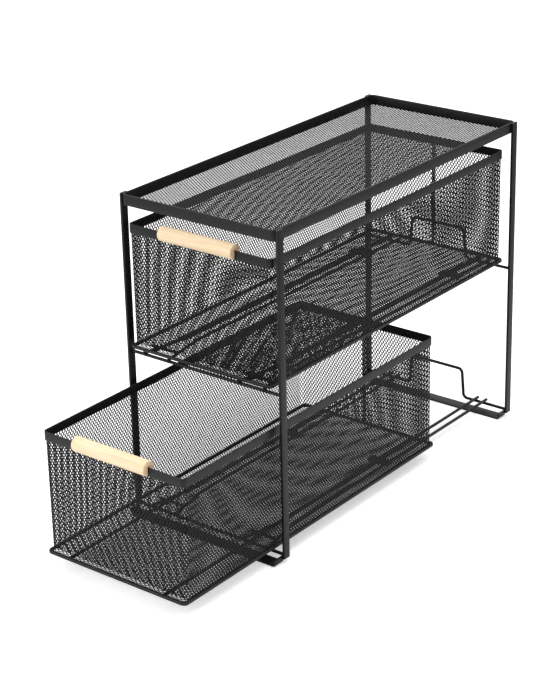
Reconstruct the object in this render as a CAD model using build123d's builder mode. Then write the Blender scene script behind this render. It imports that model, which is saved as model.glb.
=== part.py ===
from build123d import *
from math import hypot
import os

# Two-tier under sink organizer: a frame of flat strip and wire with a mesh tray on top,
# and two mesh drawers that slide on wire rails. Millimetres, X to the right, Y to the
# back and Z up. The origin is the middle of the front foot's underside, on the floor.
# The upper drawer is closed and the lower one stands part of the way out.

# Feet, each a U of flat strip
foot_pitch = 380.0              # front foot to rear foot
foot_thickness = 2.0
foot_depth = 12.5
foot_height = 7.0               # of the tabs that are welded to the legs
foot_bend_radius = 1.5          # inside the bend

# Legs of flat bar
frame_width = 180.0             # over the legs' outer faces
leg_thickness = 2.5
leg_depth = 8.0
leg_lift = 4.3                  # floor to the legs' lower ends
leg_lap = 2.0                   # depth of foot tab that a leg laps
leg_bevel = 0.4

# Tray on top
tray_rim_height = 10.4
tray_rim_thickness = 1.5
tray_corner_radius = 5.0
tray_overhang = 1.0             # past the legs, front and rear
tray_headroom = 17.2            # above the upper drawer's rim

# Round wire of the tiers
wire_diameter = 2.8             # across the flats of its facets
wire_facets = 8
lower_rod_height = 7.0          # floor to the lower rods' centre
tier_pitch = 158.0              # lower rods to upper rods
rod_gap = 0.6                   # foot tab to rod
weld_gap = 0.05                 # left between welded pieces

# Rails: two pairs of wires to a tier, which lie on its rods
rail_inset = 26.5               # drawer's side to the middle of a pair
rail_spread = 10.4              # between the two wires of a pair
rail_overhang = 4.0             # past the rods, front and rear
rail_flare = 9.5                # the front ends of a pair part this far each
rail_flare_length = 54.0
rail_bend_radius = 60.0
bridge_setback = 10.0           # front rod to the bridge across a pair
bridge_overhang = 1.9           # past the wires that the bridge holds

# Hoop in each rear rod, which stops the drawer
hoop_inset = 15.8               # inner rail to the foot of the hoop
hoop_lean = 2.5                 # each side leans in by this much
hoop_height = 32.0
hoop_bend_radius = 5.0

# Drawers, two alike
drawer_side_gap = 5.5           # leg to drawer
drawer_back_gap = 1.1           # hoop to the closed drawer
drawer_headroom = 29.2          # rim to the rods above
running_gap = 0.3               # between a drawer and what it slides on
lower_drawer_pull = 124.0       # how far the lower drawer is out
rim_height = 8.8
rim_thickness = 1.0
rim_corner_radius = 4.5
rim_lip = 1.0                   # the rim stands above the mesh
hem_size = 3.0
hem_bevel = 0.8
hem_overhang = 5.0              # past the rim, front and rear
hem_corner_radius = 5.5
wall_batter = 0.2               # the walls draw in this much to the floor
seam_width = 6.0                # lap of the mesh down the rear wall

# Glides under the runner wires, which ride the rails and stop at the bridges
glide_setback = 58.5            # rear of the hem to the glide's middle
glide_depth = 10.0
glide_overhang = 5.4            # past the rails, on each side
glide_bevel = 0.6

# Mesh
mesh_thickness = 0.8
net_border = 3.0
net_strand = 3.0
net_cell_width = 40.0
floor_cell_width = 32.0          # finer, in a drawer's floor
net_cell_height = 50.0

# Wooden handles, pressed over the front rims
handle_diameter = 14.0
handle_length = 84.5
handle_drop = 1.5               # rim's top edge down to the handle's middle
handle_clearance = 0.3
handle_bevel = 1.0

cut_overrun = 5.0               # cuts run this far past what they cut

# Places that follow from the sizes above
wire_radius = wire_diameter / 2
wire_step = wire_diameter + weld_gap
inner_half = frame_width / 2 - leg_thickness
leg_front = foot_depth / 2 - leg_lap
leg_y = leg_front + leg_depth / 2
rod_y = foot_depth / 2 + rod_gap + wire_radius
rear_rod_y = rod_y + foot_pitch

drawer_half = inner_half - drawer_side_gap
rim_front = leg_front
hem_front = rim_front - hem_overhang
hem_rear = rear_rod_y - wire_radius - drawer_back_gap
rim_rear = hem_rear - hem_overhang
drawer_middle = (rim_front + rim_rear) / 2
rim_half_length = (rim_rear - rim_front) / 2
hem_half_length = (hem_rear - hem_front) / 2

rail_middle = drawer_half - rail_inset
rail_end = rod_y - rail_overhang
bridge_y = rod_y + bridge_setback
bridge_flare = rail_flare * (1 - (bridge_y - rail_end) / rail_flare_length)
bridge_half = rail_spread / 2 + bridge_flare + wire_radius + bridge_overhang
hoop_half = rail_middle - rail_spread / 2 - hoop_inset

drawer_lift = 2 * wire_step + wire_radius + running_gap      # rods to the hem's underside
drawer_height = tier_pitch - drawer_lift - wire_radius - drawer_headroom
tray_bottom = lower_rod_height + tier_pitch + drawer_lift + drawer_height + tray_headroom
frame_height = tray_bottom + tray_rim_height
glide_y = hem_rear - glide_setback
drawer_travel = glide_y - glide_depth / 2 - bridge_y - wire_radius - 2 * running_gap

tiers = {"lower": lower_rod_height, "upper": lower_rod_height + tier_pitch}
pulls = {"lower": lower_drawer_pull, "upper": 0}
sides = {"left": -1, "right": 1}
ends = {"front": 0, "rear": foot_pitch}

print(f"Frame {frame_width:.1f} x {foot_pitch + foot_depth:.1f} x {frame_height:.1f}")
print(f"Drawer {2 * drawer_half:.1f} x {2 * rim_half_length:.1f} x {drawer_height:.1f}")
print(f"Drawer travel {drawer_travel:.1f}")

os.makedirs("parts", exist_ok=True)


def wire_section():
    """The faceted section of a wire, with a flat on top, in the sketch in hand."""
    RegularPolygon(wire_radius, wire_facets, major_radius=False, rotation=180 / wire_facets)


def net_gaps(width, height, wanted_width=net_cell_width):
    """The diamond gaps of a net, with half diamonds along its edges."""
    columns = max(2, round(width / wanted_width))
    rows = max(2, round(height / net_cell_height))
    cell_width = width / columns
    cell_height = height / rows
    side_distance = cell_width * cell_height / hypot(cell_width, cell_height) / 2
    open_share = 1 - net_strand / 2 / side_distance
    half_width = open_share * cell_width / 2
    half_height = open_share * cell_height / 2
    diamond = ((half_width, 0), (0, half_height), (-half_width, 0), (0, -half_height))
    with BuildSketch() as gaps:
        with GridLocations(cell_width, cell_height, columns, rows):
            Polygon(*diamond)
        with GridLocations(cell_width, cell_height, columns + 1, rows + 1):
            Polygon(*diamond)
        Rectangle(width, height, mode=Mode.INTERSECT)
    return gaps.sketch


def basket_wall(thickness, middle, bottom, top):
    """The drawn-in wall of a drawer all round, with its middle at this place."""
    fit = rim_thickness + weld_gap
    width = 2 * (drawer_half - fit)
    length = 2 * (rim_half_length - fit)
    radius = rim_corner_radius - fit
    with BuildPart() as shell:
        for inset, mode in ((0, Mode.ADD), (thickness, Mode.SUBTRACT)):
            for height, batter in ((bottom, wall_batter), (top, 0)):
                draw_in = 2 * (inset + batter)
                with BuildSketch(Plane((0, middle, height))):
                    RectangleRounded(width - draw_in, length - draw_in, radius - inset)
            loft(mode=mode)
    return shell.part


# Feet
for end, foot_y in ends.items():
    with BuildPart() as foot:
        with BuildSketch(Plane.XZ.offset(foot_depth / 2 - foot_y)):
            with BuildLine():
                FilletPolyline(
                    (-inner_half, foot_height),
                    (-inner_half, 0),
                    (inner_half, 0),
                    (inner_half, foot_height),
                    radius=foot_bend_radius + foot_thickness,
                )
                offset(amount=foot_thickness, side=Side.LEFT)
            make_face()
        extrude(amount=-foot_depth)
    foot.part.label = f"{end}_foot"
    export_step(foot.part, f"parts/{end}_foot.step")

# Legs
for end, foot_y in ends.items():
    for side, sign in sides.items():
        with BuildPart() as leg:
            with BuildSketch(Plane.XY.offset(leg_lift)):
                with Locations((sign * (inner_half + leg_thickness / 2), leg_y + foot_y)):
                    Rectangle(leg_thickness, leg_depth)
            extrude(amount=frame_height - leg_lift)
            chamfer(leg.edges().filter_by(Axis.Z), leg_bevel)
        leg.part.label = f"{end}_{side}_leg"
        export_step(leg.part, f"parts/{end}_{side}_leg.step")

# Tray: a rim of flat strip with the mesh inside its lower edge
tray_length = foot_pitch + leg_depth + 2 * tray_overhang
tray_middle = Plane((0, leg_y + foot_pitch / 2, tray_bottom))

with BuildPart() as tray_rim:
    with BuildSketch(tray_middle):
        RectangleRounded(2 * inner_half, tray_length, tray_corner_radius)
        offset(amount=-tray_rim_thickness, mode=Mode.SUBTRACT)
    extrude(amount=tray_rim_height)
tray_rim.part.label = "tray_rim"
export_step(tray_rim.part, "parts/tray_rim.step")

tray_fit = tray_rim_thickness + weld_gap
mesh_width = 2 * (inner_half - tray_fit)
mesh_length = tray_length - 2 * tray_fit
tray_gaps = net_gaps(mesh_width - 2 * net_border, mesh_length - 2 * net_border)

with BuildPart() as tray_mesh:
    with BuildSketch(tray_middle):
        RectangleRounded(mesh_width, mesh_length, tray_corner_radius - tray_fit)
        add(tray_gaps, mode=Mode.SUBTRACT)
    extrude(amount=mesh_thickness)
tray_mesh.part.label = "tray_mesh"
export_step(tray_mesh.part, "parts/tray_mesh.step")

for tier, rod_height in tiers.items():
    # Front rod, straight between the front legs
    with BuildPart() as front_rod:
        with BuildSketch(Plane.YZ.offset(-inner_half)):
            with Locations((rod_y, rod_height)):
                wire_section()
        extrude(amount=2 * inner_half)
    front_rod.part.label = f"{tier}_front_rod"
    export_step(front_rod.part, f"parts/{tier}_front_rod.step")

    # Rear rod with its hoop
    with BuildPart() as rear_rod:
        with BuildLine(Plane.XZ.offset(-rear_rod_y)) as hoop_path:
            FilletPolyline(
                (-inner_half, rod_height),
                (-hoop_half, rod_height),
                (hoop_lean - hoop_half, rod_height + hoop_height),
                (hoop_half - hoop_lean, rod_height + hoop_height),
                (hoop_half, rod_height),
                (inner_half, rod_height),
                radius=hoop_bend_radius,
            )
        with BuildSketch(Plane(hoop_path.line @ 0, z_dir=hoop_path.line % 0)):
            wire_section()
        sweep(path=hoop_path.line)
    rear_rod.part.label = f"{tier}_rear_rod"
    export_step(rear_rod.part, f"parts/{tier}_rear_rod.step")

    # Rails, whose front ends part, and the bridge across each pair
    for side, sign in sides.items():
        for place, spread in (("inner", -1), ("outer", 1)):
            rail_x = rail_middle + spread * rail_spread / 2
            with BuildPart() as rail:
                with BuildLine(Plane.XY.offset(rod_height + wire_step)) as rail_path:
                    FilletPolyline(
                        (sign * (rail_x + spread * rail_flare), rail_end),
                        (sign * rail_x, rail_end + rail_flare_length),
                        (sign * rail_x, rear_rod_y + rail_overhang),
                        radius=rail_bend_radius,
                    )
                with BuildSketch(Plane(rail_path.line @ 0, z_dir=rail_path.line % 0)):
                    wire_section()
                sweep(path=rail_path.line)
            rail.part.label = f"{tier}_{side}_{place}_rail"
            export_step(rail.part, f"parts/{tier}_{side}_{place}_rail.step")

        with BuildPart() as bridge:
            with BuildSketch(Plane.YZ.offset(sign * rail_middle)):
                with Locations((bridge_y, rod_height + 2 * wire_step)):
                    wire_section()
            extrude(amount=bridge_half, both=True)
        bridge.part.label = f"{tier}_{side}_bridge"
        export_step(bridge.part, f"parts/{tier}_{side}_bridge.step")

# Nets of the drawers: the end walls, the side walls and the floor
corner_x = drawer_half - rim_corner_radius
corner_y = rim_half_length - rim_corner_radius
net_height = drawer_height - hem_size - mesh_thickness - rim_height - 2 * net_border
end_gaps = net_gaps(2 * (corner_x - net_border), net_height)
side_gaps = net_gaps(2 * (corner_y - net_border), net_height)
inside_fit = rim_thickness + weld_gap + wall_batter + mesh_thickness + net_border
floor_width_inside = 2 * (drawer_half - inside_fit)
floor_length_inside = 2 * (rim_half_length - inside_fit)
floor_gaps = net_gaps(floor_width_inside, floor_length_inside, floor_cell_width)

# Each wall: the way it faces, half its straight length, its distance out, its gaps
walls = {
    "front": ((0, -1), corner_x, corner_y, end_gaps),
    "back": ((0, 1), corner_x, corner_y, end_gaps),
    "left": ((-1, 0), corner_y, corner_x, side_gaps),
    "right": ((1, 0), corner_y, corner_x, side_gaps),
}

for tier, rod_height in tiers.items():
    middle_y = drawer_middle - pulls[tier]
    hem_bottom = rod_height + drawer_lift
    floor_bottom = hem_bottom + hem_size
    wall_bottom = floor_bottom + mesh_thickness
    rim_top = hem_bottom + drawer_height
    rim_bottom = rim_top - rim_height
    wall_top = rim_top - rim_lip

    # Hem: the rounded bar loop that the basket stands on
    with BuildPart() as hem:
        with BuildSketch(Plane((0, middle_y, hem_bottom))):
            RectangleRounded(2 * drawer_half, 2 * hem_half_length, hem_corner_radius)
            offset(amount=-hem_size, mode=Mode.SUBTRACT)
        extrude(amount=hem_size)
        layers = hem.faces().sort_by(Axis.Z)
        outer_edges = layers[0].outer_wire().edges() + layers[-1].outer_wire().edges()
        chamfer(outer_edges, hem_bevel)
    hem.part.label = f"{tier}_drawer_hem"
    export_step(hem.part, f"parts/{tier}_drawer_hem.step")

    # Runner wires along the hem, each with a glide under it near the rear
    for side, sign in sides.items():
        runner_length = 2 * (hem_half_length - hem_size)
        with BuildPart() as runner:
            with BuildSketch(Plane.XZ.offset(runner_length / 2 - middle_y)):
                with Locations((sign * rail_middle, hem_bottom + wire_radius)):
                    wire_section()
            extrude(amount=-runner_length)
        runner.part.label = f"{tier}_drawer_{side}_runner"
        export_step(runner.part, f"parts/{tier}_drawer_{side}_runner.step")

        glide_bottom = rod_height + wire_step + wire_radius + running_gap
        with BuildPart() as glide:
            with BuildSketch(Plane((sign * rail_middle, glide_y - pulls[tier], glide_bottom))):
                Rectangle(rail_spread + wire_diameter + 2 * glide_overhang, glide_depth)
            extrude(amount=hem_bottom - weld_gap - glide_bottom)
            chamfer(glide.edges().filter_by(Axis.Z), glide_bevel)
        glide.part.label = f"{tier}_drawer_{side}_glide"
        export_step(glide.part, f"parts/{tier}_drawer_{side}_glide.step")

    # Floor mesh, laid on the hem
    with BuildPart() as floor:
        floor_width = 2 * (drawer_half - hem_bevel)
        floor_length = 2 * (hem_half_length - hem_bevel)
        with BuildSketch(Plane((0, middle_y, floor_bottom))):
            RectangleRounded(floor_width, floor_length, hem_corner_radius - hem_bevel)
            add(floor_gaps, mode=Mode.SUBTRACT)
        extrude(amount=mesh_thickness)
    floor.part.label = f"{tier}_drawer_floor_mesh"
    export_step(floor.part, f"parts/{tier}_drawer_floor_mesh.step")

    # Rim: the flat strip round the top
    with BuildPart() as rim:
        with BuildSketch(Plane((0, middle_y, rim_bottom))):
            RectangleRounded(2 * drawer_half, 2 * rim_half_length, rim_corner_radius)
            offset(amount=-rim_thickness, mode=Mode.SUBTRACT)
        extrude(amount=rim_height)
    rim.part.label = f"{tier}_drawer_rim"
    export_step(rim.part, f"parts/{tier}_drawer_rim.step")

    # Walls of mesh, mitred at the rounded corners, with a lapped seam down the rear one
    wall_shell = basket_wall(mesh_thickness, middle_y, wall_bottom, wall_top)
    double_shell = basket_wall(2 * mesh_thickness, middle_y, wall_bottom, wall_top)
    with BuildPart() as seam:
        add(double_shell)
        with BuildSketch(Plane((0, middle_y + rim_half_length, wall_bottom))):
            Rectangle(seam_width, 2 * rim_corner_radius)
        extrude(amount=wall_top - wall_bottom, mode=Mode.INTERSECT)

    for place, ((out_x, out_y), along, across, gaps) in walls.items():
        reach = across + rim_corner_radius
        panel_x_dir = (-out_y, out_x, 0)
        facing = Plane(
            (out_x * reach, middle_y + out_y * reach, (wall_bottom + rim_bottom) / 2),
            x_dir=panel_x_dir,
            z_dir=(out_x, out_y, 0),
        )
        miter = rim_corner_radius
        with BuildPart() as wall:
            add(wall_shell)
            with BuildSketch(Plane((0, middle_y, wall_bottom), x_dir=panel_x_dir)):
                with BuildLine():
                    Polyline(
                        (along + miter, -across - miter),
                        (-along - miter, -across - miter),
                        (-along + miter, -across + miter),
                        (along - miter, -across + miter),
                        close=True,
                    )
                make_face()
            extrude(amount=wall_top - wall_bottom, mode=Mode.INTERSECT)
            with BuildSketch(facing):
                add(gaps)
            extrude(amount=wall_batter + cut_overrun, both=True, mode=Mode.SUBTRACT)
            if place == "back":
                add(seam.part)
        wall.part.label = f"{tier}_drawer_{place}_mesh"
        export_step(wall.part, f"parts/{tier}_drawer_{place}_mesh.step")

    # Handle: a dowel with a groove from below that holds the rim and the mesh behind it
    groove_width = rim_thickness + weld_gap + mesh_thickness + 2 * handle_clearance
    handle_y = middle_y - rim_half_length - handle_clearance + groove_width / 2
    handle_z = rim_top - handle_drop
    with BuildPart() as handle:
        with BuildSketch(Plane.YZ):
            with Locations((handle_y, handle_z)):
                Circle(handle_diameter / 2)
        extrude(amount=handle_length / 2, both=True)
        rings = handle.edges().group_by(Axis.X)
        chamfer(rings[0] + rings[-1], handle_bevel)
        with BuildSketch(Plane((0, handle_y, rim_top + handle_clearance))):
            Rectangle(handle_length + 2 * cut_overrun, groove_width)
        extrude(amount=-handle_diameter, mode=Mode.SUBTRACT)
    handle.part.label = f"{tier}_drawer_handle"
    export_step(handle.part, f"parts/{tier}_drawer_handle.step")
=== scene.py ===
import math

import bmesh
import bpy
from mathutils import Matrix, Vector


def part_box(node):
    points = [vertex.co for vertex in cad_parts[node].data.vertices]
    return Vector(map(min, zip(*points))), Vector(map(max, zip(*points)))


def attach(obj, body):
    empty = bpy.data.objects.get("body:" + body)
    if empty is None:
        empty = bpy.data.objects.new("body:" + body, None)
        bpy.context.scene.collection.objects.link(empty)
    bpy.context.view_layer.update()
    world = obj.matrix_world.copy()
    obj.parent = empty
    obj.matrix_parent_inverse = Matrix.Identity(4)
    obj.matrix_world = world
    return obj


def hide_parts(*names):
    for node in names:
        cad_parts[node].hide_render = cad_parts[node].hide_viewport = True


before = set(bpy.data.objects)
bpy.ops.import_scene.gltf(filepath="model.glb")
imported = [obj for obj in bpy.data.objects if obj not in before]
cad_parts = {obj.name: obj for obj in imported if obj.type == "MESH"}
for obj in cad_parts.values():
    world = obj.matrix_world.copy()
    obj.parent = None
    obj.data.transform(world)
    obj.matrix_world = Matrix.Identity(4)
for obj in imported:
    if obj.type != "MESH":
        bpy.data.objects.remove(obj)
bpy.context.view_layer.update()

bl_info = {
    "name": "Under Sink Organizer",
    "version": (1, 0, 0),
    "blender": (4, 5, 0),
    "location": "View3D > Sidebar > Organizer",
    "description": "Dresses a two-tier mesh organizer with sliding drawers",
    "category": "Object",
}

TIERS = ("lower", "upper")
ENDS = ("front", "rear")
SIDES = {"left": -1, "right": 1}
X, Y = 0, 1
QUARTER_TURN = math.pi / 2


# Places read from the frame

def low(node):
    """The lowest corner of a CAD node."""
    return Vector(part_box(node)[0])


def high(node):
    """The highest corner of a CAD node."""
    return Vector(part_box(node)[1])


def middle(node):
    """The middle of a CAD node's box."""
    return (low(node) + high(node)) / 2


def wire_radius(tier):
    """The radius of a tier's wires, half the height of its front rod."""
    rod = f"{tier}_front_rod"
    return (high(rod).z - low(rod).z) / 2


def rail_offsets(rail, radius):
    """How far from the middle a rail's axis runs at its front end and along its straight."""
    edges = (abs(low(rail).x), abs(high(rail).x))
    near, far = min(edges) + radius, max(edges) - radius
    return (near, far) if "inner" in rail else (far, near)


# Node trees

def link(tree, value, socket):
    """Feeds a value, a field or an output socket to an input socket."""
    if isinstance(value, Field):
        value = value.socket
    if isinstance(value, bpy.types.NodeSocket):
        tree.links.new(value, socket)
    else:
        socket.default_value = value


class Field:
    """A number in a node tree. Python's signs and the calls below add Math nodes to it."""

    def __init__(self, tree, socket):
        self.tree = tree
        self.socket = socket

    def math(self, operation, *others, clamp=False):
        node = self.tree.nodes.new("ShaderNodeMath")
        node.operation = operation
        node.use_clamp = clamp
        for socket, value in zip(node.inputs, (self, *others)):
            link(self.tree, value, socket)
        return Field(self.tree, node.outputs[0])

    def __add__(self, other):
        return self.math("ADD", other)

    def __radd__(self, other):
        return self.math("ADD", other)

    def __sub__(self, other):
        return self.math("SUBTRACT", other)

    def __rsub__(self, other):
        return self * -1 + other

    def __mul__(self, other):
        return self.math("MULTIPLY", other)

    def __rmul__(self, other):
        return self.math("MULTIPLY", other)

    def __truediv__(self, other):
        return self.math("DIVIDE", other)

    def __abs__(self):
        return self.math("ABSOLUTE")

    def least(self, other):
        return self.math("MINIMUM", other)

    def most(self, other):
        return self.math("MAXIMUM", other)

    def within(self, limit):
        """Kept between a limit and its negative."""
        return self.least(limit).most(limit * -1)

    def share(self, factor=1.0):
        """Times a factor, kept between 0 and 1."""
        return self.math("MULTIPLY", factor, clamp=True)

    def past(self, start, contrast):
        """How far it is past a start, times a contrast, kept between 0 and 1."""
        return (self - start).share(contrast)


def new_node(tree, kind, values=None, **settings):
    """A node with these settings and with these input values or links."""
    node = tree.nodes.new(kind)
    for name, value in settings.items():
        setattr(node, name, value)
    for name, value in (values or {}).items():
        link(tree, value, node.inputs[name])
    return node


def split(tree, vector):
    """The three numbers of a vector."""
    node = new_node(tree, "ShaderNodeSeparateXYZ", {"Vector": vector})
    return [Field(tree, out) for out in node.outputs]


def join(tree, x=0.0, y=0.0, z=0.0):
    """A vector from three numbers."""
    return new_node(tree, "ShaderNodeCombineXYZ", {"X": x, "Y": y, "Z": z}).outputs[0]


def noise(tree, place, scale, detail, roughness=0.5):
    """Cloudy noise from 0 to 1."""
    node = new_node(tree, "ShaderNodeTexNoise", {
        "Vector": place, "Scale": scale, "Detail": detail, "Roughness": roughness})
    return Field(tree, node.outputs["Fac"])


SOCKET_KINDS = {float: "Float", int: "Int", tuple: "Color", type(None): "Material"}


def add_inputs(tree, defaults):
    """Gives a tree a named input for each default, and returns them as fields."""
    for name, default in defaults.items():
        socket = tree.interface.new_socket(
            name, in_out="INPUT", socket_type="NodeSocket" + SOCKET_KINDS[type(default)])
        if default is not None:
            socket.default_value = default
    start = tree.nodes.new("NodeGroupInput")
    return {out.name: Field(tree, out) for out in start.outputs if out.name}


def tree_of(name):
    """A node tree by its name, built at its first use."""
    return bpy.data.node_groups.get(name) or TREES[name](name)


# Finishes

def finish_tree(name, defaults):
    """A shader group with these inputs that puts out a colour, a roughness and a normal."""
    tree = bpy.data.node_groups.new(name, "ShaderNodeTree")
    for label, kind in (("Colour", "Color"), ("Roughness", "Float"), ("Normal", "Vector")):
        tree.interface.new_socket(label, in_out="OUTPUT", socket_type="NodeSocket" + kind)
    return tree, add_inputs(tree, defaults)


def end_finish(tree, colour, roughness, height, strength):
    """Ends a finish's group in its outputs, with a height for its relief."""
    deepest = 0.0002
    bump = new_node(tree, "ShaderNodeBump", {"Strength": strength, "Distance": deepest, "Height": height})
    new_node(tree, "NodeGroupOutput", {
        "Colour": colour, "Roughness": roughness, "Normal": bump.outputs["Normal"]})
    return tree


def mixed(tree, factor, first, second, blend="MIX"):
    """The first colour, turned into the second by a factor."""
    return new_node(tree, "ShaderNodeMix", {"Factor": factor, "A": first, "B": second},
                    data_type="RGBA", blend_type=blend).outputs["Result"]


def powder_coat(name):
    """Baked powder paint: a fine orange peel, soft clouds and a little dust on what faces up."""
    tree, given = finish_tree(name, {
        "Colour": (0.02, 0.02, 0.02, 1), "Dust": 0.05, "Roughness": 0.45, "Peel Size": 0.0012,
        "Peel Depth": 0.15})
    clouds_per_metre = 35.0
    cloud_shade, cloud_roughness, dust_roughness = 0.3, 0.18, 0.3
    dust_colour = (0.35, 0.35, 0.34, 1)
    place = tree.nodes.new("ShaderNodeTexCoord").outputs["Object"]
    upwards = split(tree, tree.nodes.new("ShaderNodeNewGeometry").outputs["Normal"])[2]
    peel = noise(tree, place, given["Peel Size"].math("POWER", -1.0), 3.0, 0.55)
    cloud = noise(tree, place, clouds_per_metre, 4.0)
    dust = upwards.share(given["Dust"])
    dusty = mixed(tree, dust * (cloud + 0.5), given["Colour"], dust_colour)
    grey = (cloud - 0.5) * cloud_shade + 1.0
    colour = mixed(tree, 1.0, dusty, join(tree, grey, grey, grey), "MULTIPLY")
    roughness = given["Roughness"] + (cloud - 0.5) * cloud_roughness + dust * dust_roughness
    return end_finish(tree, colour, roughness, peel, given["Peel Depth"])


def wood_grain(name):
    """Pale hardwood with its grain along X."""
    tree, given = finish_tree(name, {
        "Light": (0.8, 0.6, 0.4, 1), "Dark": (0.6, 0.4, 0.25, 1), "Grain Width": 0.0016, "Contrast": 0.75})
    sways_along, sways_across, sway_in_grains = 14, 60, 2.4
    pores_along, pores_across = 160, 2600
    ring_stretch = 0.035
    ring_shade, pore_shade, end_shade = 0.75, 0.35, 0.45
    plain_roughness, ring_roughness, pore_roughness = 0.5, 0.12, 0.1
    ring_depth, pore_depth, relief_strength = 0.3, 0.7, 0.25
    place = tree.nodes.new("ShaderNodeTexCoord")
    x, y, z = split(tree, place.outputs["Object"])
    facing_end = abs(split(tree, place.outputs["Normal"])[0])

    def drawn_out(along, across, detail, roughness=0.5, sway=0.0):
        """Noise that is drawn out along the grain, with this many spots to a metre."""
        spots = join(tree, x * along, y * across + sway, z * across + sway)
        return noise(tree, spots, 1.0, detail, roughness)

    grains = given["Grain Width"].math("POWER", -1.0)
    sway = drawn_out(sways_along, sways_across, 2.0) * sway_in_grains
    ring = drawn_out(grains * ring_stretch, grains, 3.0, 0.6, sway).past(start=0.38, contrast=3.4)
    pore = drawn_out(pores_along, pores_across, 2.0).past(start=0.56, contrast=6.0)
    end_grain = facing_end.past(start=0.6, contrast=4.0)
    shade = (ring * ring_shade + pore * pore_shade) * given["Contrast"] + end_grain * end_shade
    colour = mixed(tree, shade.least(1.0), given["Light"], given["Dark"])
    roughness = plain_roughness + ring * ring_roughness + pore * pore_roughness
    height = 1.0 - pore * pore_depth - ring * ring_depth
    return end_finish(tree, colour, roughness, height, relief_strength)


# Each finish's group, its specular level and its values. A word is one of the colour settings
FINISHES = {
    "Painted strip": ("Powder coat", 0.34, {"Colour": "strip", "Dust": "dust", "Roughness": 0.42}),
    "Painted wire": ("Powder coat", 0.3, {
        "Colour": "wire", "Dust": "dust", "Roughness": 0.48, "Peel Size": 0.0009}),
    "Painted net": ("Powder coat", 0.22, {
        "Colour": "net", "Dust": "dust", "Roughness": 0.52, "Peel Size": 0.0007}),
    "Black plastic": ("Powder coat", 0.4, {
        "Colour": "plastic", "Dust": 0.0, "Roughness": 0.55, "Peel Size": 0.0005, "Peel Depth": 0.08}),
    "Pale wood": ("Wood grain", 0.35, {"Light": "wood_light", "Dark": "wood_dark"}),
}

SLOT_FINISHES = {
    "frame_steel": "Painted strip",
    "rim_steel": "Painted strip",
    "wire_steel": "Painted wire",
    "mesh_steel": "Painted net",
    "glide_plastic": "Black plastic",
    "handle_wood": "Pale wood",
}


def chosen(value):
    """A finish's value, looked up in the colour settings where it is a word."""
    if not isinstance(value, str):
        return value
    setting = getattr(bpy.context.scene.organizer_colours, value)
    return setting if isinstance(setting, float) else (*setting, 1)


def finish_of(slot):
    """A slot's finish, made at its first use."""
    name = SLOT_FINISHES[slot]
    found = bpy.data.materials.get(name)
    if found:
        return found
    effect, specular, values = FINISHES[name]
    made = bpy.data.materials.new(name)
    made.use_nodes = True
    tree = made.node_tree
    shader = tree.nodes["Principled BSDF"]
    shader.inputs["Specular IOR Level"].default_value = specular
    group = new_node(tree, "ShaderNodeGroup", {label: chosen(value) for label, value in values.items()},
                     node_tree=tree_of(effect))
    for output, socket in (("Colour", "Base Color"), ("Roughness", "Roughness"), ("Normal", "Normal")):
        tree.links.new(group.outputs[output], shader.inputs[socket])
    return made


# Finished pieces

def in_scene(name, data):
    """A new object in the scene."""
    made = bpy.data.objects.new(name, data)
    bpy.context.scene.collection.objects.link(made)
    return made


def place_piece(mesh, name, body, slot, node=None):
    """Puts a finished mesh in the scene, on its body, and in a CAD node's place where one is given."""
    mesh.name = name
    if not mesh.materials:
        mesh.materials.append(finish_of(slot))
    piece = in_scene(name, mesh)
    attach(piece, body)
    if node:
        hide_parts(node)


def smooth_by_angle(mesh, degrees=40):
    """Smooth faces with sharp edges past an angle."""
    mesh.polygons.foreach_set("use_smooth", [True] * len(mesh.polygons))
    mesh.set_sharp_from_angle(angle=math.radians(degrees))


def evaluated_mesh(carrier):
    """The plain mesh that an object's modifiers make. The object goes."""
    bpy.context.view_layer.update()
    depsgraph = bpy.context.evaluated_depsgraph_get()
    mesh = bpy.data.meshes.new_from_object(carrier.evaluated_get(depsgraph), depsgraph=depsgraph)
    carrier.modifiers.clear()
    bpy.data.objects.remove(carrier)
    return mesh


def grown(source, name, values, sharp=None):
    """The plain mesh that a tree makes of a source mesh, with these inputs set."""
    carrier = in_scene("carrier", source)
    modifier = carrier.modifiers.new("Nodes", "NODES")
    tree = tree_of(name)
    modifier.node_group = tree
    identifiers = {item.name: item.identifier for item in tree.interface.items_tree
                   if item.in_out == "INPUT"}
    for label, value in values.items():
        modifier[identifiers[label]] = value
    mesh = evaluated_mesh(carrier)
    if not mesh.polygons:
        raise RuntimeError(f"{name} made no faces")
    if sharp:
        smooth_by_angle(mesh, sharp)
    return mesh


# Flat strip and bar

def arc(centre, radius, start, turn, steps):
    """Points of an arc in a plane, with the outward direction at each."""
    places = []
    for step in range(steps + 1):
        angle = start + turn * step / steps
        out = Vector((math.cos(angle), math.sin(angle)))
        places.append((Vector(centre) + radius * out, out))
    return places


def loop_places(half_x, half_y, radius, centre, steps):
    """The rounded rectangle's points with their outward directions, for a strip's loop."""
    places = []
    for quarter, (sign_x, sign_y) in enumerate(((1, 1), (-1, 1), (-1, -1), (1, -1))):
        corner = (centre[0] + sign_x * (half_x - radius), centre[1] + sign_y * (half_y - radius))
        places += arc(corner, radius, quarter * QUARTER_TURN, QUARTER_TURN, steps)
    return places


def rounded_section(width, height, radius, steps=3):
    """A bar's section as offsets inwards and up, with rounded edges, anticlockwise."""
    far_x, far_y = width - radius, height - radius
    points = []
    for quarter, corner in enumerate(((far_x, far_y), (radius, far_y), (radius, radius), (far_x, radius))):
        points += [tuple(p) for p, _ in arc(corner, radius, quarter * QUARTER_TURN, QUARTER_TURN, steps)]
    return points


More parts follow.
